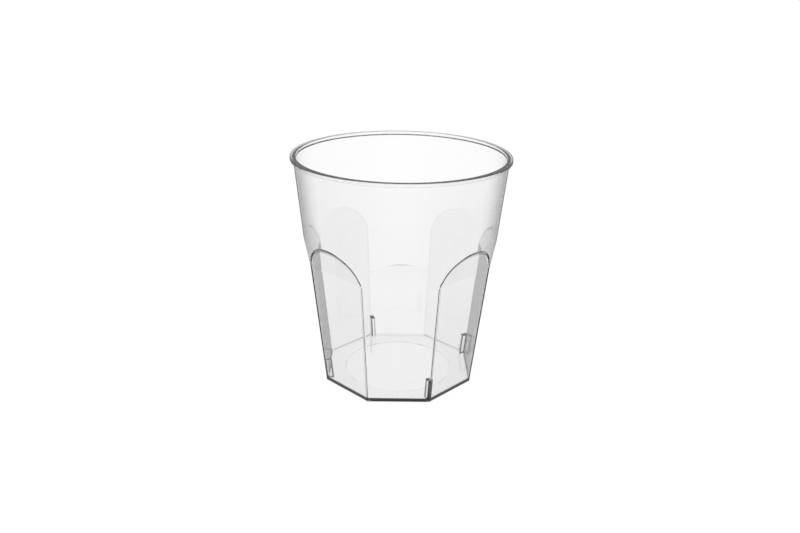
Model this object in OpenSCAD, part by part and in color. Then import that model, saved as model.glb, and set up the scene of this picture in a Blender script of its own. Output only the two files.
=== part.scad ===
// Clear drinking tumbler, moulded in one piece. Its foot is an octagon with flat
// panels, each panel ends in an arch, and above the arches the wall is a round cone
// up to a lip. Four small ribs in the lower corners carry the next tumbler of a stack.
// Origin: centre of the foot, on the table. One panel faces -Y.

/* [Rim] */
// Diameter of the mouth across the lip
rim_d = 85; // [82:0.5:92]
// How far the lip stands out from the wall
lip_out = 1.1; // [0.6:0.1:2]
// Height of the lip
lip_h = 1.4; // [1.2:0.1:2.4]
// Radius that rounds the edges of the lip
lip_round = 0.4; // [0.2:0.05:0.45]

/* [Wall] */
// Height from the table to the top of the lip
cup_h = 91.8; // [86:0.2:104]
// Height at which the steeper taper of the foot passes into that of the round wall
waist_h = 56.6; // [54:0.1:60]
// Diameter of the round wall at that height
waist_d = 75.7; // [74:0.1:77]
// Thickness of the wall, measured level
wall = 1; // [0.8:0.05:1.3]

/* [Panels] */
// Number of flat panels round the foot
sides = 8; // [6:2:12]
// Distance across opposite corners at the table, before they are trimmed
foot_d = 63; // [61:0.5:66]
// Height at which the flat panels end and the hollows of their arches begin
panel_h = 50.8; // [46:0.2:55]
// How much is taken off the tip of every corner between two panels
corner_trim = 0.05; // [0.03:0.01:0.12]
// Angle by which a hollow leans out more than its panel where it begins
hollow_lean = 5.2; // [4:0.1:7]
// Radius of the hollow between a panel and its arch
hollow_r = 37; // [32:0.5:42]

/* [Floor] */
// Thickness of the floor
floor_t = 1.4; // [1.2:0.1:2.4]
// Radius of the fillet between the floor and the wall
floor_fillet = 0.6; // [0.4:0.1:2]
// Chamfer round the edge of the foot
foot_chamfer = 0.5; // [0.2:0.05:0.6]
// Diameter of the shallow recess under the floor
recess_d = 43; // [30:1:50]
// Depth of that recess
recess_depth = 0.3; // [0.2:0.05:0.5]

/* [Stacking ribs] */
// Width of a rib
rib_w = 1.8; // [1.2:0.1:3]
// How far a rib reaches in from its corner
rib_reach = 2.4; // [1.4:0.1:3.5]
// Room between the foot of the next tumbler and the wall, where it rests on the ribs
stack_gap = 0.15; // [0.1:0.05:0.4]

/* [Hidden] */
$fn = 128;

rim_r = rim_d / 2;
wall_top_r = rim_r - lip_out;
waist_r = waist_d / 2;
foot_r = foot_d / 2;

// Half the angle of one panel, and the share of a corner's radius that its panel has
half_turn = 180 / sides;
flat_share = cos(half_turn);

// Widening of the round wall and of the corners for each millimetre of height
wall_rise = (wall_top_r - waist_r) / (cup_h - waist_h);
corner_rise = (waist_r + corner_trim - foot_r) / waist_h;

// Radius of the round wall, of a corner and of the middle of a panel, at a height
function round_at(z) = waist_r + wall_rise * (z - waist_h);
function corner_at(z) = foot_r + corner_rise * z;
function panel_at(z) = flat_share * corner_at(z);

// Radius of the blunt corners, which runs on into the round wall
function blunt_at(z) = corner_at(z) - corner_trim;

// Level thickness of a panel, whose corners are as thick as the round wall
panel_wall = flat_share * wall;

// Lean of a panel, and of the hollow where it leaves the panel
panel_lean = atan(flat_share * corner_rise);
hollow_start = panel_lean + hollow_lean;

// Height of the rib tops, where the next tumbler's corners clear the wall
rib_top = (wall + stack_gap) / corner_rise;

// Reach of the cutters past the solid that they trim
over = 5;
cut_r = rim_r + over;

clear_plastic = [0.86, 0.9, 0.92, 0.45];

// Square corner less a quarter circle, which rounds an edge at its origin
module edge_round(r) {
    difference() {
        square(r);
        circle(r);
    }
}

// Blunt corners, round wall and lip as a solid of revolution
module round_body() {
    rotate_extrude()
        difference() {
            polygon([
                [0, 0], [blunt_at(0), 0], [waist_r, waist_h],
                [round_at(cup_h - lip_h), cup_h - lip_h], [rim_r, cup_h - lip_h],
                [rim_r, cup_h], [0, cup_h]
            ]);
            translate([rim_r - lip_round, cup_h - lip_round])
                edge_round(lip_round);
            translate([rim_r - lip_round, cup_h - lip_h + lip_round])
                mirror([0, 1])
                    edge_round(lip_round);
        }
}

// Round part of the space inside. The rounding of its upper edge starts a hair inside
// the line of the wall and crosses it.
module round_space() {
    edge_z = cup_h - lip_round;
    edge_r = round_at(edge_z - lip_round / 4) - wall;
    rotate_extrude() {
        polygon([
            [0, floor_t], [blunt_at(floor_t) - wall, floor_t],
            [waist_r - wall, waist_h], [round_at(cup_h) - wall, cup_h],
            [round_at(cup_h) - wall, cup_h + over], [0, cup_h + over]
        ]);
        translate([edge_r + lip_round, edge_z])
            mirror([1, 0])
                edge_round(lip_round);
    }
}

// Section of what lies outside one panel and its hollow. The circle of the hollow
// crosses the line of the panel at panel_h, and again below the square's top.
module panel_section() {
    half_chord = hollow_r * sin(hollow_lean) * cos(panel_lean);
    intersection() {
        polygon([
            [panel_at(-over), -over], [cut_r, -over],
            [cut_r, cup_h], [panel_at(cup_h), cup_h]
        ]);
        union() {
            translate([
                panel_at(panel_h) + hollow_r * cos(hollow_start),
                panel_h - hollow_r * sin(hollow_start)
            ])
                circle(hollow_r);
            translate([0, -2 * over])
                square([cut_r + over, panel_h - half_chord + 2 * over]);
        }
    }
}

// Section of the chamfer along the foot of a panel
module chamfer_section() {
    polygon([
        [panel_at(0) - foot_chamfer - over, -over],
        [panel_at(0) + over, -over],
        [panel_at(0) + over, foot_chamfer + over]
    ]);
}

// Section of the fillet along the inside of a panel
module fillet_section() {
    mid_z = floor_t + floor_fillet;
    mid_r = panel_at(mid_z) - panel_wall - floor_fillet / cos(panel_lean);
    difference() {
        polygon([
            [mid_r, mid_z], [mid_r, floor_t - over], [mid_r + over, floor_t - over],
            [mid_r + floor_fillet * cos(panel_lean), mid_z - floor_fillet * sin(panel_lean)]
        ]);
        translate([mid_r, mid_z])
            circle(floor_fillet);
    }
}

// The same section cut along every panel
module round_the_panels() {
    for (i = [0 : sides - 1])
        rotate([0, 0, -90 + i * 2 * half_turn])
            rotate([90, 0, 0])
                linear_extrude(2 * cut_r, center = true)
                    children();
}

// Outside of the tumbler, filled
module outer_form() {
    difference() {
        round_body();
        round_the_panels() {
            panel_section();
            chamfer_section();
        }
    }
}

// Space inside the tumbler
module inner_space() {
    difference() {
        round_space();
        round_the_panels() {
            translate([-panel_wall, 0])
                panel_section();
            fillet_section();
        }
    }
}

// One stacking rib, standing in a corner between two panels and rooted in its wall
module rib() {
    tip_r = corner_at(0) - wall - rib_reach;
    lean = corner_at(rib_top) - corner_at(0);
    rotate([90, 0, 0])
        linear_extrude(rib_w, center = true)
            polygon([
                [tip_r, floor_t / 2], [tip_r + rib_reach + wall / 2, floor_t / 2],
                [tip_r + rib_reach + wall / 2 + lean, rib_top], [tip_r + lean, rib_top]
            ]);
}

module cup() {
    color(clear_plastic) {
        difference() {
            outer_form();
            inner_space();
            translate([0, 0, -over])
                cylinder(h = over + recess_depth, d = recess_d);
        }
        for (i = [0 : 2 : sides - 1])
            rotate([0, 0, -90 + (2 * i + 1) * half_turn])
                rib();
    }
}

cup();
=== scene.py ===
# %% [markdown]
# # A clear drinking tumbler, moulded in one piece
# The real object is one shot of clear hard plastic. Its foot is an octagon, each of
# its eight flat panels ends in an arch, and the wall above is a round cone up to a
# small lip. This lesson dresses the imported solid: it builds one fine, evenly laid
# mesh of the same form, because the solid's own triangles are too coarse for light
# that bends through two faces of every wall. The solid stays for the collisions.

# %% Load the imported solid
import math
import bmesh
import bpy
import numpy as np
from mathutils import Matrix, Vector


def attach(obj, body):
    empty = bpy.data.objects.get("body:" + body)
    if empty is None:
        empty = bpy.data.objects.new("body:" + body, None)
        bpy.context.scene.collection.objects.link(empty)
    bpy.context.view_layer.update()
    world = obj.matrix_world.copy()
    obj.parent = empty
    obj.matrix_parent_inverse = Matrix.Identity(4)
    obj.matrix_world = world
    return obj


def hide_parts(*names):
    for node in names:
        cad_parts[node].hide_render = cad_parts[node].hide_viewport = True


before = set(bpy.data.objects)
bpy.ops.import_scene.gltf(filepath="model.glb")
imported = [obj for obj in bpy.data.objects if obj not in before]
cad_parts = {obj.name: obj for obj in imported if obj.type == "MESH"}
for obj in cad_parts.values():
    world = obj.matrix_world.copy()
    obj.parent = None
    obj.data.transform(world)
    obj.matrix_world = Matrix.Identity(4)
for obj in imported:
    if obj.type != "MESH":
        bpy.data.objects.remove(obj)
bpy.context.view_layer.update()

# %% [markdown]
# ## Camera
# The photograph looks down into the mouth, about 22 degrees below the horizon, from
# a short distance, and leans one degree. A camera could be turned by hand until the
# picture fits, but the sizes would then be guesses too. So its place, its tilt and
# its lens were worked out together with them, from the ellipses of the lip, the
# corners of the foot and the tops of the ribs.

# %% Work out where the camera looks
PITCH, YAW, ROLL = 0.376, 0.0129, 0.017

ahead = Vector((
    math.sin(YAW) * math.cos(PITCH),
    math.cos(YAW) * math.cos(PITCH),
    -math.sin(PITCH),
))
side = ahead.cross(Vector((0, 0, 1))).normalized()
top = side.cross(ahead)
right = side * math.cos(ROLL) + top * math.sin(ROLL)
above = top * math.cos(ROLL) - side * math.sin(ROLL)
looking = Matrix((right, above, -ahead)).transposed().to_4x4()
print("looks down", round(math.degrees(PITCH), 1), "degrees")

# %% Place the camera
PICTURE_W, SENSOR_W = 800, 36
FOCAL_PIXELS = 810.317
EYE = Vector((-0.0037999, -0.3040513, 0.165538))

camera_data = bpy.data.cameras.new("camera")
camera_data.sensor_width = SENSOR_W
camera_data.lens = FOCAL_PIXELS / PICTURE_W * SENSOR_W
camera_data.clip_start = 0.01
camera = bpy.data.objects.new("camera", camera_data)
bpy.context.scene.collection.objects.link(camera)
camera.matrix_world = Matrix.Translation(EYE) @ looking
bpy.context.scene.camera = camera
print("lens", round(camera_data.lens, 3), "mm")

# %% [markdown]
# ## Sizes
# All the sizes are the solid's own, in millimetres, so the mesh lies inside its box.
# Blender works in metres, so they are multiplied by MM when they go into a mesh. The
# wall's two tapers meet at the waist. They differ by half a degree, and a real mould
# has no line there, so the mesh eases one into the other.

# %% Name the sizes
MM = 0.001
CUP_H, RIM_R = 91.8, 42.5
LIP_OUT, LIP_H, LIP_ROUND, STEP_ROUND = 1.1, 1.4, 0.4, 0.3
WALL, WAIST_H, WAIST_R = 1.0, 56.6, 37.85
SIDES, FOOT_R, CORNER_TRIM = 8, 31.5, 0.05
PANEL_H, HOLLOW_LEAN, HOLLOW_R = 50.8, math.radians(5.2), 37.0
FLOOR_T, FLOOR_FILLET, FOOT_ROUND = 1.4, 0.6, 0.5
RECESS_R, RECESS_DEPTH = 21.5, 0.3
RIB_W, RIB_REACH, STACK_GAP = 1.8, 2.4, 0.15
print("the tumbler is", CUP_H, "mm high and", 2 * RIM_R, "mm wide")

# %% Work out the tapers and what a panel shares with its corners
HALF_TURN = math.pi / SIDES
FLAT_SHARE = math.cos(HALF_TURN)
WALL_RISE = (RIM_R - LIP_OUT - WAIST_R) / (CUP_H - WAIST_H)
CORNER_RISE = (WAIST_R + CORNER_TRIM - FOOT_R) / WAIST_H
PANEL_LEAN = math.atan(FLAT_SHARE * CORNER_RISE)
PANEL_WALL = FLAT_SHARE * WALL
RIB_TOP = (WALL + STACK_GAP) / CORNER_RISE
print("a panel leans", round(math.degrees(PANEL_LEAN), 2), "degrees")
print("ribs end at", round(RIB_TOP, 2), "mm")

# %% [markdown]
# ## Round wall, panels and hollows as plain formulas
# A moulded cup can be modelled by eye, but this one has to lie on its solid. A few
# short functions say how far out the round wall, a flat panel and the hollow over it
# stand at any height, and where hollow and wall meet. Every point comes from them.

# %% Describe the round wall
EASE = 5.0


def round_at(z):
    """Radius of the round form, with the change of taper eased over EASE each way."""
    t = min(max((z - WAIST_H + EASE) / (2 * EASE), 0), 1)
    low = WAIST_R + CORNER_RISE * (z - WAIST_H)
    if t <= 0:
        return low
    if t >= 1:
        return WAIST_R + WALL_RISE * (z - WAIST_H)
    return low + (WALL_RISE - CORNER_RISE) * EASE * t * t


print("radius at the waist", round(round_at(WAIST_H), 3), "mm")


# %% Describe a panel and its hollow
def flat_at(z):
    """Distance from the axis to a flat panel."""
    return FLAT_SHARE * (FOOT_R + CORNER_RISE * z)


def panel_at(z):
    """Distance from the axis to a panel, and above PANEL_H to its hollow."""
    if z <= PANEL_H:
        return flat_at(z)
    start = PANEL_LEAN + HOLLOW_LEAN
    rise = z - PANEL_H + HOLLOW_R * math.sin(start)
    chord = math.sqrt(max(HOLLOW_R ** 2 - rise ** 2, 0))
    return flat_at(PANEL_H) + HOLLOW_R * math.cos(start) - chord


print("panel stands", round(panel_at(0), 2), "mm out at the foot")
print("and", round(panel_at(PANEL_H), 2), "mm at the crease")

# %% Find where the hollow runs out into the wall
ARCH_ROOM, HALVINGS = 20, 60


def arch_height(angle, round_off=0.0, panel_off=0.0):
    """Height of the arch at an angle from the panel's middle."""
    def stands_in(z):
        return (round_at(z) - round_off) * math.cos(angle) > panel_at(z) - panel_off

    low, high = PANEL_H, PANEL_H + ARCH_ROOM
    if not stands_in(low):
        return low
    for _ in range(HALVINGS):
        mid = (low + high) / 2
        if stands_in(mid):
            low = mid
        else:
            high = mid
    return low


print("arch crowns at", round(arch_height(0), 2), "mm")

# %% [markdown]
# ## A lattice that follows the arches
# An arch is the line where a hollow runs out into the cone. A plain lattice of
# upright and level lines would saw across it, and a boolean cut would leave slivers
# beside it, so the columns stay upright and the rows bend: one row runs along every
# crease and one along every arch. The columns are spaced so that the points of an
# arch lie evenly along it.

# %% Space the columns of a panel along its arch
COLUMNS, SAMPLES = 40, 1601
PER_SIDE = COLUMNS + 2
AROUND = SIDES * PER_SIDE


def edge_angle(z):
    """Angle from a panel's middle to the blunt corner that ends it."""
    return math.acos(min(panel_at(z) / round_at(z), 1))


def column_shares():
    """Places of the columns from -1 to 1 across a panel, even along the arch."""
    limit = edge_angle(PANEL_H)
    angles = np.linspace(-limit, limit, SAMPLES)
    heights = np.array([arch_height(a) for a in angles])
    across = np.array([round_at(z) for z in heights]) * angles
    steps = np.hypot(np.diff(across), np.diff(heights))
    length = np.concatenate([[0], np.cumsum(steps)])
    print("arch is", round(length[-1], 2), "mm long")
    even = np.interp(np.linspace(0, length[-1], COLUMNS + 1), length, angles)
    return even / limit


SHARES = column_shares()
print(AROUND, "columns")

# %% [markdown]
# ## Rows that bend with the arch
# In every column the rows are spread between the foot, the crease, the arch and the
# lip. Rows spaced evenly would round the crease and the arch off over several
# millimetres. So rows stand close under and over the crease, and a guard row stands
# on either side of the arch, a quarter of a millimetre off. The arch is then rounded
# as little as on the real one.

# %% Work out how far the guard rows stand from the arch
GUARD, WIDEST_GUARD = 0.27, 0.9
SLOPE_STEP = 0.002


def guard_at(angle, offs):
    """Distance of the guard rows, wider where the arch is steep."""
    before, after = (arch_height(angle + s, *offs) for s in (-SLOPE_STEP, SLOPE_STEP))
    slope = (after - before) / (2 * SLOPE_STEP) / WAIST_R
    return min(GUARD * math.hypot(1, slope), WIDEST_GUARD)


print("guard rows stand", round(guard_at(0, (0, 0)), 2), "mm off the crown")

# %% Work out the heights of one column on the wall
LOW_ROWS, HOLLOW_ROWS, WALL_ROWS = 5, 9, 11
RIB_GAP, CREASE_GAP = 0.25, 0.3
CREASE_SHARE, GUARD_SHARE = 0.3, 0.25


def wall_heights(angle, inner):
    """Heights of a column's points from the foot or the floor up to the lip."""
    if inner:
        offs = WALL, PANEL_WALL
        start = FLOOR_T + FLOOR_FILLET * (1 - math.sin(PANEL_LEAN))
        end = CUP_H - LIP_ROUND
    else:
        offs = 0, 0
        start, end = FOOT_ROUND, CUP_H - LIP_H - STEP_ROUND
    arch = arch_height(angle, *offs)
    room = arch - PANEL_H
    guard = guard_at(angle, offs)
    below = min(guard, GUARD_SHARE * room)
    under_crease = PANEL_H - 2 * CREASE_GAP
    over_crease = PANEL_H + min(CREASE_GAP, CREASE_SHARE * room)
    rows = [start]
    rows += list(np.linspace(RIB_TOP + RIB_GAP, under_crease, LOW_ROWS - 1))
    rows += [PANEL_H - CREASE_GAP, PANEL_H]
    rows += list(np.linspace(over_crease, arch - 2 * below, HOLLOW_ROWS))
    rows += [arch - below, arch, arch + guard]
    rows += list(np.linspace(arch + 2 * guard, end, WALL_ROWS))
    return rows


FIRST_HOLLOW = LOW_ROWS + 2
ARCH = FIRST_HOLLOW + HOLLOW_ROWS + 1
print(len(wall_heights(0, False)), "rows up a wall, the arch is row", ARCH)

# %% [markdown]
# ## One skin over the whole form
# The tumbler is drawn as one closed skin, like a stocking over a form: it starts
# under the foot, goes up the outside, over the lip, down the inside and ends on the
# floor. Two shells joined at the lip would do as well, but one skin has no seam to
# close. A column of it is traced in five parts.


# %% Draw a small rounding
def arc(centre_r, centre_z, radius, first, last, steps):
    """Points of a small rounding, as (distance, height), from and to an angle."""
    points = []
    for i in range(steps + 1):
        turn = math.radians(first + (last - first) * i / steps)
        across, up = radius * math.cos(turn), radius * math.sin(turn)
        points.append((centre_r + across, centre_z + up))
    return points


print("a quarter turn in five steps has", len(arc(0, 0, 1, 0, 90, 5)), "points")

# %% Trace the underside
HUB_R, RECESS_BEND = 6.0, 0.3
RECESS_EDGE = (
    (-RECESS_BEND, 1), (-0.06, 1), (0, 0.8), (0, 0.2), (0.06, 0), (RECESS_BEND, 0))


def under_foot(angle):
    """From the hub over the recess's edge and round the edge of the foot."""
    points = [(HUB_R, RECESS_DEPTH, angle)]
    for out, share in RECESS_EDGE:
        points.append((RECESS_R + out, RECESS_DEPTH * share, angle))
    centre = panel_at(FOOT_ROUND) - FOOT_ROUND
    for out, z in arc(centre, FOOT_ROUND, FOOT_ROUND, -90, 0, 5)[:-1]:
        points.append((min(round_at(z), out / math.cos(angle)), z, angle))
    return points


print(len(under_foot(0)), "points under the foot")


# %% Trace the wall
def on_wall(share, corner, inner):
    """Up the outside or the inside of the wall."""
    top_angle = HALF_TURN if corner else share * edge_angle(PANEL_H)
    off, flat_off = (WALL, PANEL_WALL) if inner else (0, 0)
    points = []
    for z in wall_heights(top_angle, inner):
        angle = top_angle if z >= PANEL_H or corner else share * edge_angle(z)
        on_panel = (panel_at(z) - flat_off) / math.cos(angle)
        points.append((min(round_at(z) - off, on_panel), z, angle))
    return points


print(len(on_wall(0, False, False)), "points up the outside")


# %% Trace the lip
STEP_POINTS = 3


def over_lip(angle):
    """Out under the lip, round it and into the mouth."""
    under, over = CUP_H - LIP_H, CUP_H - LIP_ROUND
    foot_r, foot_z = round_at(under) + STEP_ROUND, under - STEP_ROUND
    edge_r, mouth_r = RIM_R - LIP_ROUND, round_at(over) - WALL + LIP_ROUND
    points = arc(foot_r, foot_z, STEP_ROUND, 180, 90, STEP_POINTS)[1:]
    points += arc(edge_r, under + LIP_ROUND, LIP_ROUND, -90, 0, 5)
    points += arc(edge_r, over, LIP_ROUND, 0, 90, 5)
    points += arc(mouth_r, over, LIP_ROUND, 90, 180, 6)[:-1]
    return [(r, z, angle) for r, z in points]


print(len(over_lip(0)), "points on the lip")

# %% Trace the floor
FLOOR_RING = 0.4


def on_floor(angle):
    """Round the fillet and over the floor to the hub."""
    mid_z = FLOOR_T + FLOOR_FILLET
    centre = panel_at(mid_z) - PANEL_WALL - FLOOR_FILLET / math.cos(PANEL_LEAN)
    fillet = arc(centre, mid_z, FLOOR_FILLET, -math.degrees(PANEL_LEAN), -90, 7)[1:]
    fillet.append((centre - FLOOR_RING, FLOOR_T))
    points = [(out / math.cos(angle), z, angle) for out, z in fillet]
    return points + [(HUB_R, FLOOR_T, angle)]


print(len(on_floor(0)), "points on the floor")


# %% Trace the columns of one side
def column_parts(share, corner):
    """The five parts of a column, each a list of (radius, height, angle)."""
    foot_angle = HALF_TURN if corner else share * edge_angle(0)
    top_angle = HALF_TURN if corner else share * edge_angle(PANEL_H)
    return (
        under_foot(foot_angle),
        on_wall(share, corner, False),
        over_lip(top_angle),
        on_wall(share, corner, True)[::-1],
        on_floor(foot_angle),
    )


one_side = [column_parts(share, False) for share in SHARES] + [column_parts(0, True)]
traced = [sum(parts, []) for parts in one_side]
ends = np.cumsum([len(part) for part in one_side[0]])
OUTSIDE, LIP, INSIDE, FLOOR, ROWS = (int(end) for end in ends)
print(ROWS, "rows,", AROUND * ROWS, "points")

# %% [markdown]
# ## From a drum to the tumbler
# The skin needs as many faces as the lattice has, joined in the same way. They could
# be listed by hand, but a drum has them already: its upright edges are cut into as
# many rings as a column has points, and each point is then set on its place. Points
# that fall together at the trimmed corners are merged in the end.

# %% Cut a drum into rings
DRUM_R, DRUM_H = 0.04, 0.09
bpy.ops.object.select_all(action="DESELECT")
bpy.ops.mesh.primitive_cylinder_add(
    vertices=AROUND, radius=DRUM_R, depth=DRUM_H, end_fill_type="NGON")
cup = bpy.context.object
cup.name = "tumbler"
bpy.ops.object.mode_set(mode="EDIT")
bpy.ops.mesh.select_all(action="DESELECT")
edit = bmesh.from_edit_mesh(cup.data)
for e in edit.edges:
    e.select = abs(e.verts[0].co.z - e.verts[1].co.z) > DRUM_H / 2
bmesh.update_edit_mesh(cup.data)
bpy.ops.mesh.subdivide(number_cuts=ROWS - 2)
bpy.ops.object.mode_set(mode="OBJECT")
print(len(cup.data.vertices), "points on the drum")

# %% Read each point's column and ring
drum = np.empty(len(cup.data.vertices) * 3)
cup.data.vertices.foreach_get("co", drum)
drum = drum.reshape(-1, 3)
turns = np.arctan2(drum[:, 1], drum[:, 0])
column = np.rint(turns / (2 * math.pi) * AROUND).astype(int) % AROUND
ring = np.rint((drum[:, 2] / DRUM_H + 0.5) * (ROWS - 1)).astype(int)
print("rings drawn", len(set(ring)), "of", ROWS)

# %% Draw the rings onto the form
placed = np.empty_like(drum)
for n, (col, row) in enumerate(zip(column, ring)):
    r, z, angle = traced[col % PER_SIDE][row]
    turn = -math.pi / 2 + (col // PER_SIDE) * 2 * HALF_TURN + angle
    placed[n] = (r * math.cos(turn), r * math.sin(turn), z)
cup.data.vertices.foreach_set("co", (placed * MM).ravel())
cup.data.update()
lowest, highest = placed.min(axis=0).round(2), placed.max(axis=0).round(2)
print("placed from", lowest, "to", highest, "mm")

# %% [markdown]
# ## Marks for painted lines and shade
# On clear plastic a line shows where the surface turns sharply and bends light in from
# dark surroundings. Here those dark lines, and the shade of the faces, are painted.
# They could be painted as a picture on the surface, which blurs when the eye comes
# close. The rows know where the lines are, so a number on each point, called an
# attribute, hands that on to the material, and stays in its place in every view.

# %% List the rows of each painted line and of each kind of face
over_hollow = range(FIRST_HOLLOW, ARCH + 1)
over_arch = range(WALL_ROWS)
# The four *_shade_line marks carry painted dark lines; the others pick the painted
# shade of a face.
marked = {
    "arch_shade_line": [OUTSIDE + i for i in range(ARCH - 2, ARCH + 2)],
    "lip_shade_line": [LIP + STEP_POINTS + i for i in (1, 2, 3)],
    "step_shade_line": [LIP, LIP + 1],
    "hollow": [OUTSIDE + i for i in over_hollow] + [FLOOR - 1 - i for i in over_hollow],
    "inner_wall": [INSIDE - 2, INSIDE - 1] + [INSIDE + i for i in over_arch],
    "outer_wall": [LIP - 1 - i for i in over_arch],
}
for name, rows in marked.items():
    print(name, "on", len(rows), "rows")


# %% Mark the points of those rows, and of the corners between the panels
def mark(name, where):
    """Number on every point, 1 where it belongs to that painted line or kind of face.
    """
    layer = cup.data.attributes.new(name, "FLOAT", "POINT")
    layer.data.foreach_set("value", where.astype(float))
    print(name, int(where.sum()), "points")


for name, rows in marked.items():
    mark(name, np.isin(ring, rows))
heights = placed[:, 2]
outside = (ring < ROWS / 2) & (heights > FOOT_ROUND / 2) & (heights < PANEL_H + 1)
beside_corner = (0, 1, COLUMNS - 1, COLUMNS, COLUMNS + 1)
mark("corner_shade_line", np.isin(column % PER_SIDE, beside_corner) & outside)

# %% Merge the points that fall together
MERGE_GAP = 0.002 * MM
bpy.ops.object.mode_set(mode="EDIT")
bpy.ops.mesh.select_all(action="SELECT")
bpy.ops.mesh.remove_doubles(threshold=MERGE_GAP)
bpy.ops.object.mode_set(mode="OBJECT")
print("skin", len(cup.data.vertices), "points,", len(cup.data.polygons), "faces")

# %% [markdown]
# ## Stacking ribs
# Four small blocks stand in every second corner. They carry the foot of the next
# tumbler, so that stacked ones don't jam. They could be pulled out of the skin itself,
# but its columns stand too close together at a corner. So each is a block of its own,
# leaned to follow its corner and rooted in the wall, and its upright and upper edges
# are bevelled.

# %% Lean a rib and select its free edges
RIB_ROUND = 0.5
RIB_TIP, RIB_LOW = FOOT_R - WALL - RIB_REACH, FLOOR_T / 2
RIB_DEPTH, RIB_HEIGHT = RIB_REACH + WALL / 2, RIB_TOP - RIB_LOW


def lean_and_select(rib):
    """Push the top out along the corner, and select the edges to bevel."""
    half_way = (RIB_LOW + RIB_HEIGHT / 2) * MM
    wall_starts = (RIB_TIP + RIB_REACH) * MM
    bpy.ops.mesh.select_all(action="DESELECT")
    edit = bmesh.from_edit_mesh(rib.data)
    for v in edit.verts:
        if v.co.z > half_way:
            v.co.x += CORNER_RISE * RIB_HEIGHT * MM
    for e in edit.edges:
        a, b = (v.co for v in e.verts)
        e.select = max(a.z, b.z) > half_way and min(a.x, b.x) < wall_starts
    bmesh.update_edit_mesh(rib.data)


print("a rib is", round(RIB_HEIGHT, 2), "mm high and", round(RIB_DEPTH, 2), "mm deep")


# %% Model one rib and stand it in every second corner
def make_rib(turn):
    """A rib as a closed block with rounded edges, in the corner at that turn."""
    bpy.ops.object.select_all(action="DESELECT")
    bpy.ops.mesh.primitive_cube_add(size=1)
    rib = bpy.context.object
    middle = (RIB_TIP + RIB_DEPTH / 2, 0, RIB_LOW + RIB_HEIGHT / 2)
    rib.scale = [size * MM for size in (RIB_DEPTH, RIB_W, RIB_HEIGHT)]
    rib.location = [place * MM for place in middle]
    bpy.ops.object.transform_apply(location=True, rotation=False, scale=True)
    bpy.ops.object.mode_set(mode="EDIT")
    lean_and_select(rib)
    bpy.ops.mesh.bevel(offset=RIB_ROUND * MM, segments=4, affect="EDGES")
    bpy.ops.object.mode_set(mode="OBJECT")
    rib.rotation_euler = (0, 0, turn)
    bpy.ops.object.transform_apply(location=True, rotation=True, scale=True)
    return rib


RIB_TURNS = [-math.pi / 2 + (4 * i + 1) * HALF_TURN for i in range(4)]
ribs = [make_rib(turn) for turn in RIB_TURNS]
print(len(ribs), "ribs of", len(ribs[0].data.polygons), "faces")

# %% [markdown]
# ## One moulding
# Blocks that only stand in the wall would show their hidden faces through the clear
# plastic. A union takes those faces out, so that light meets one surface. The faces
# are then shaded smooth except at sharp edges, and weighted normals keep the panels
# as flat as they are.

# %% Join the ribs to the wall
bpy.ops.object.select_all(action="DESELECT")
for rib in ribs:
    rib.select_set(True)
bpy.context.view_layer.objects.active = ribs[0]
bpy.ops.object.join()
bpy.ops.object.select_all(action="DESELECT")
cup.select_set(True)
bpy.context.view_layer.objects.active = cup
union = cup.modifiers.new("ribs", "BOOLEAN")
union.operation, union.solver, union.object = "UNION", "EXACT", ribs[0]
bpy.ops.object.modifier_apply(modifier="ribs")
bpy.data.objects.remove(ribs[0])
print("joined skin", len(cup.data.vertices), "points")

# %% Smooth the shading
SHARP_ANGLE, FACE_WEIGHT = math.radians(40), 90
bpy.ops.object.shade_smooth_by_angle(angle=SHARP_ANGLE)
even = cup.modifiers.new("normals", "WEIGHTED_NORMAL")
even.weight, even.keep_sharp = FACE_WEIGHT, True
bpy.ops.object.modifier_apply(modifier="normals")
print("smooth up to", round(math.degrees(SHARP_ANGLE)), "degrees")

# %% Measure the skin
edit = bmesh.new()
edit.from_mesh(cup.data)
loose = sum(len(e.link_faces) != 2 for e in edit.edges)
print("volume", round(edit.calc_volume() / MM ** 3, 1), "mm3, open edges", loose)
print(len(edit.calc_loop_triangles()), "triangles")
edit.free()

# %% [markdown]
# ## Marks on the ribs and the floor
# The rounded edges of a rib get black lines of painted shade, and the level floor is
# kept free of the painted shade.
# The union keeps no marks of the ribs, so their edges are found again by place. These
# two marks lie on the corners of faces and not on points, because the floor has long
# triangles over which a point's mark would smear.

# %% Tell the rounded edges of a rib
NEAR, INTO_WALL = 0.05, 0.2
EDGE_DEPTH = RIB_ROUND - 0.04


def depths_in_rib(x, y, z):
    """Depths under a rib's tip, side and top, or None outside the ribs."""
    for turn in RIB_TURNS:
        out = x * math.cos(turn) + y * math.sin(turn)
        off = abs(y * math.cos(turn) - x * math.sin(turn))
        tip = out - (RIB_TIP + CORNER_RISE * (z - RIB_LOW))
        depths = tip, RIB_W / 2 - off, RIB_TOP - z
        if out > 0 and tip < RIB_REACH + INTO_WALL and min(depths) > -NEAR:
            return depths
    return None


def on_rib_edge(place):
    """True where two of the three depths are less than the rounding."""
    depths = depths_in_rib(*place)
    return bool(depths) and sum(depth < EDGE_DEPTH for depth in depths) >= 2


print("an edge is read to", EDGE_DEPTH, "mm under two sides of a rib")

# %% Tell the level faces
LEVEL_GAP = 0.001


def is_level(x, y, z):
    """True for a face of the floor, or of the recess under it."""
    in_circle = math.hypot(x, y) < RECESS_R + RECESS_BEND
    in_recess = in_circle and z < RECESS_DEPTH + LEVEL_GAP
    return abs(z - FLOOR_T) < LEVEL_GAP or in_recess


print("the floor at", FLOOR_T, "mm is level:", is_level(0, 0, FLOOR_T))
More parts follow.
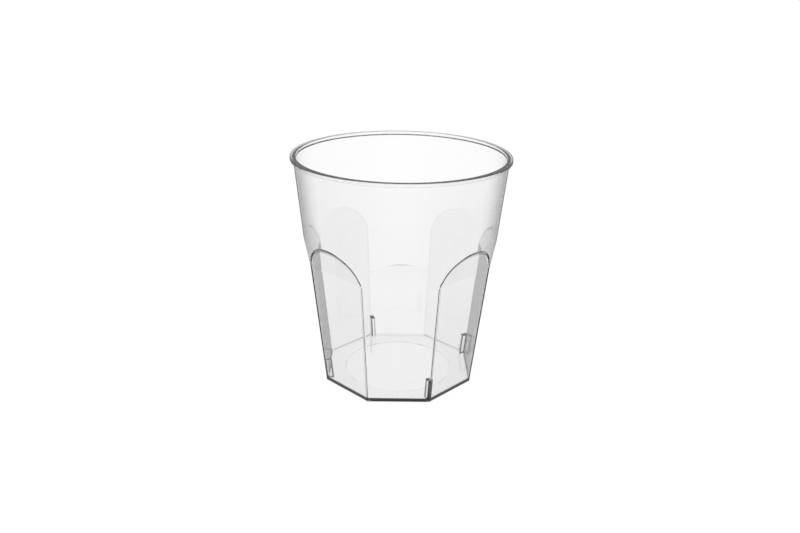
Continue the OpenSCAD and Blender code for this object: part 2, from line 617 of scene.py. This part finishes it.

# %% Mark them on the corners of the faces
# rib_shade_line carries painted dark lines; level_face keeps the floor free of painted
# shade.
for name in ("rib_shade_line", "level_face"):
    cup.data.attributes.new(name, "FLOAT", "CORNER")
rib_shade_line = cup.data.attributes["rib_shade_line"].data
level_face = cup.data.attributes["level_face"].data
level_count = edge_count = 0
for face in cup.data.polygons:
    centre = face.center / MM
    level = is_level(*centre)
    on_rib = not level and centre.z > FLOOR_T and depths_in_rib(*centre)
    level_count += level
    for loop, point in zip(face.loop_indices, face.vertices):
        level_face[loop].value = level
        if on_rib:
            on_edge = on_rib_edge(cup.data.vertices[point].co / MM)
            rib_shade_line[loop].value = on_edge
            edge_count += on_edge
print(level_count, "level faces,", edge_count, "face corners on rounded edges")

# %% [markdown]
# ## Clear plastic
# Hard clear polystyrene is smooth, nearly colourless and bends light more than glass
# does, so its roughness is 0 and its index 1.59. It could be left at that, but with
# white on all sides such a tumbler almost vanishes: in a studio it is drawn by light
# that its edges and steep faces fetch from dark places. Black cards round it would
# do that for one view and stand in the way of the others. So a black coat of painted
# shade lies over the plastic. It has no gloss of its own, and its weight is the share
# of light that the painted shade takes away.

# %% Mix the clear plastic
plastic = bpy.data.materials.new("clear_plastic")
plastic.use_nodes = True
nodes, links = plastic.node_tree.nodes, plastic.node_tree.links
polystyrene = nodes["Principled BSDF"]
# The black Coat Tint is the colour of the painted shade.
for socket, value in {
    "Base Color": (0.97, 0.972, 0.972, 1), "Metallic": 0, "Roughness": 0,
    "IOR": 1.59, "Transmission Weight": 1,
    "Coat IOR": 1, "Coat Roughness": 0, "Coat Tint": (0, 0, 0, 1),
}.items():
    polystyrene.inputs[socket].default_value = value
print(plastic.name, "of index", round(polystyrene.inputs["IOR"].default_value, 2))

# %% [markdown]
# ## How far a face is turned away
# A steep face gets more painted shade than one seen straight on: a little of it is the
# longer path through the plastic, most stands for the dark places it would show. Layer
# Weight tells them apart in every view: it gives 0 on a face that looks straight at the
# eye and 1 on one seen edge on. A colour ramp turns that into a share of painted shade.
# Each ramp below is a list of stops, the turn first and the share second.

# %% Read the turn of a face through a ramp
turned = nodes.new("ShaderNodeLayerWeight")
turned.inputs["Blend"].default_value = 0.5


def painted_shade_for_turn(stops):
    """Share of painted shade for the turn of the face, from (turn, share) stops."""
    ramp = nodes.new("ShaderNodeValToRGB")
    elements = ramp.color_ramp.elements
    for element, (turn, share) in zip(elements, (stops[0], stops[-1])):
        element.position, element.color = turn, (share, share, share, 1)
    for turn, share in stops[1:-1]:
        elements.new(turn).color = (share, share, share, 1)
    links.new(turned.outputs["Facing"], ramp.inputs["Fac"])
    return ramp.outputs["Color"]


print("turn read from", turned.name)


# %% Combine two shares, and read a mark
def combine(kind, first, second, clamp=False):
    """Math node of that kind on two sockets or numbers."""
    node = nodes.new("ShaderNodeMath")
    node.operation, node.use_clamp = kind, clamp
    for socket, value in zip(node.inputs, (first, second)):
        if isinstance(value, (int, float)):
            socket.default_value = value
        else:
            links.new(value, socket)
    return node.outputs[0]


def on_mark(name):
    """1 where the mesh carries that mark."""
    node = nodes.new("ShaderNodeAttribute")
    node.attribute_name = name
    return node.outputs["Fac"]


leaving = nodes.new("ShaderNodeNewGeometry").outputs["Backfacing"]


def on_entering(name):
    """The mark, where light enters the plastic."""
    return combine("SUBTRACT", on_mark(name), leaving, True)


def on_leaving(name):
    """The mark, where light leaves the plastic."""
    return combine("MULTIPLY", on_mark(name), leaving)


print(len(nodes), "nodes so far")

# %% [markdown]
# ## Lines
# The arches, the corners at the sides, the underside of the lip, the step behind it
# and the edges of the ribs get dark lines of painted shade. A line as dark all round
# would look inked, and on the real tumbler an arch is black at the sides and nearly
# gone in front. So a line's own ramp lets it show at the turns at which it does. The
# nearer wall's lines are read where light enters, the step behind the far lip where it
# leaves.

# %% Darken the lines
ARCH_TURNS = ((0.33, 0), (0.38, 1), (0.47, 1), (0.58, 0.7), (0.7, 0.35), (0.8, 0))
CORNER_TURNS = ((0.38, 0), (0.46, 0.6), (0.6, 1), (1, 1))
LIP_TURNS = ((0.6, 0), (0.78, 1), (1, 1))
# Every line here is painted shade, laid into the coat's weight.
lines = combine("MAXIMUM", on_leaving("step_shade_line"), on_mark("rib_shade_line"))
for line, turns_shown in (
    (on_entering("arch_shade_line"), ARCH_TURNS),
    (on_mark("corner_shade_line"), CORNER_TURNS),
    (on_entering("lip_shade_line"), LIP_TURNS),
):
    shown = combine("MULTIPLY", line, painted_shade_for_turn(turns_shown))
    lines = combine("MAXIMUM", lines, shown)
print(len(nodes), "nodes with the lines")

# %% [markdown]
# ## Faces
# Painted shade makes the wall light grey in front, darker towards the sides and black
# at its very edge. The hollows over the panels turn faster and are shaded darker than
# the wall beside them in front, but lighter at the sides. The far wall above the arches
# is lit through the mouth on both its skins, so it gets less painted shade. The level
# floor gets none. One ramp for all of them would be simpler, but the arches show
# because hollow and wall differ, so each has its own.

# %% Shade the faces by their turn
WALL_SHADE = (
    (0, 0), (0.12, 0.035), (0.45, 0.045), (0.56, 0.15), (0.66, 0.3),
    (0.76, 0.43), (0.87, 0.49), (0.94, 0.92), (1, 1),
)
HOLLOW_SHADE = (
    (0, 0), (0.12, 0.035), (0.32, 0.038), (0.44, 0.08), (0.58, 0.1),
    (0.7, 0.1), (0.86, 0.13), (0.94, 0.2), (1, 0.6),
)
wall_or_hollow = nodes.new("ShaderNodeMix")
links.new(on_mark("hollow"), wall_or_hollow.inputs["Factor"])
links.new(painted_shade_for_turn(WALL_SHADE), wall_or_hollow.inputs["A"])
links.new(painted_shade_for_turn(HOLLOW_SHADE), wall_or_hollow.inputs["B"])
print(len(WALL_SHADE), "stops for the wall,", len(HOLLOW_SHADE), "for the hollows")

# %% Spare the floor and the far wall
# LIT_BY_MOUTH is the share of painted shade taken off the far wall, as if lit through
# the mouth.
LIT_BY_MOUTH = 0.8
not_level = combine("SUBTRACT", 1, on_mark("level_face"), True)
faces = combine("MULTIPLY", wall_or_hollow.outputs["Result"], not_level)
far_wall = combine("MAXIMUM", on_entering("inner_wall"), on_leaving("outer_wall"))
spared = combine("MULTIPLY", far_wall, LIT_BY_MOUTH)
faces = combine("MULTIPLY", faces, combine("SUBTRACT", 1, spared))
print(len(nodes), "nodes with the faces")

# %% Lay the coat over the plastic
# The coat's weight is the painted shade of the lines and the faces together.
links.new(combine("MAXIMUM", lines, faces), polystyrene.inputs["Coat Weight"])
cup.data.materials.clear()
cup.data.materials.append(plastic)
print(cup.name, "wears", plastic.name)

# %% [markdown]
# ## White floor
# The tumbler stands on plain white. A wide plane gives that. A plane that glowed
# white for everything would also light the tumbler from below like a lamp, so Light
# Path splits it in two: the eye, gloss and clear plastic see it nearly white, and
# what it throws on the tumbler is the light of an ordinary pale floor. A gap of a
# tenth of a millimetre stays under the foot. Plastic that lay on the plane would let
# the white through, and the dark band round a real foot would be lost.

# %% Lay the floor
AIR_GAP, FLOOR_W = 0.0001, 12
bpy.ops.object.select_all(action="DESELECT")
bpy.ops.mesh.primitive_plane_add(size=FLOOR_W, location=(0, 0, -AIR_GAP))
floor = bpy.context.object
floor.name = "floor"
white = bpy.data.materials.new("white_floor")
white.use_nodes = True
nodes, links = white.node_tree.nodes, white.node_tree.links
matt = nodes["Principled BSDF"]
matt.inputs["Base Color"].default_value = (0.8, 0.8, 0.8, 1)
matt.inputs["Roughness"].default_value = 1
matt.inputs["Specular IOR Level"].default_value = 0
print("floor lies at", -AIR_GAP / MM, "mm")

# %% Make it white where it is seen
rays = nodes.new("ShaderNodeLightPath").outputs
seen = combine("ADD", rays["Is Camera Ray"], rays["Is Glossy Ray"])
seen = combine("ADD", seen, rays["Is Transmission Ray"], True)
pale = nodes.new("ShaderNodeBsdfDiffuse")
pale.inputs["Color"].default_value = (0.07, 0.07, 0.07, 1)
glow = nodes.new("ShaderNodeEmission")
glow.inputs["Strength"].default_value = 0.95
both = nodes.new("ShaderNodeAddShader")
links.new(pale.outputs[0], both.inputs[0])
links.new(glow.outputs[0], both.inputs[1])
choice = nodes.new("ShaderNodeMixShader")
links.new(seen, choice.inputs["Fac"])
links.new(matt.outputs[0], choice.inputs[1])
links.new(both.outputs[0], choice.inputs[2])
links.new(choice.outputs[0], nodes["Material Output"].inputs["Surface"])
floor.data.materials.append(white)
print(floor.name, "wears", white.name)

# %% [markdown]
# ## Light
# A tent of white cloth lights clear things evenly from all sides. Lamps would do for
# a solid thing, but each would show as a bright spot in the lip. A plain white sky
# is the tent.

# %% Light the tumbler
world = bpy.data.worlds.new("studio")
bpy.context.scene.world = world
world.use_nodes = True
sky = world.node_tree.nodes["Background"].inputs
sky["Color"].default_value = (1, 1, 1, 1)
sky["Strength"].default_value = 1
bpy.context.scene.view_settings.view_transform = "Standard"
print("sky of strength", sky["Strength"].default_value)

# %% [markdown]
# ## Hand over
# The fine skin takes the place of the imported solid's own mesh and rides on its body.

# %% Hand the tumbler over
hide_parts("cup")
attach(cup, "root")
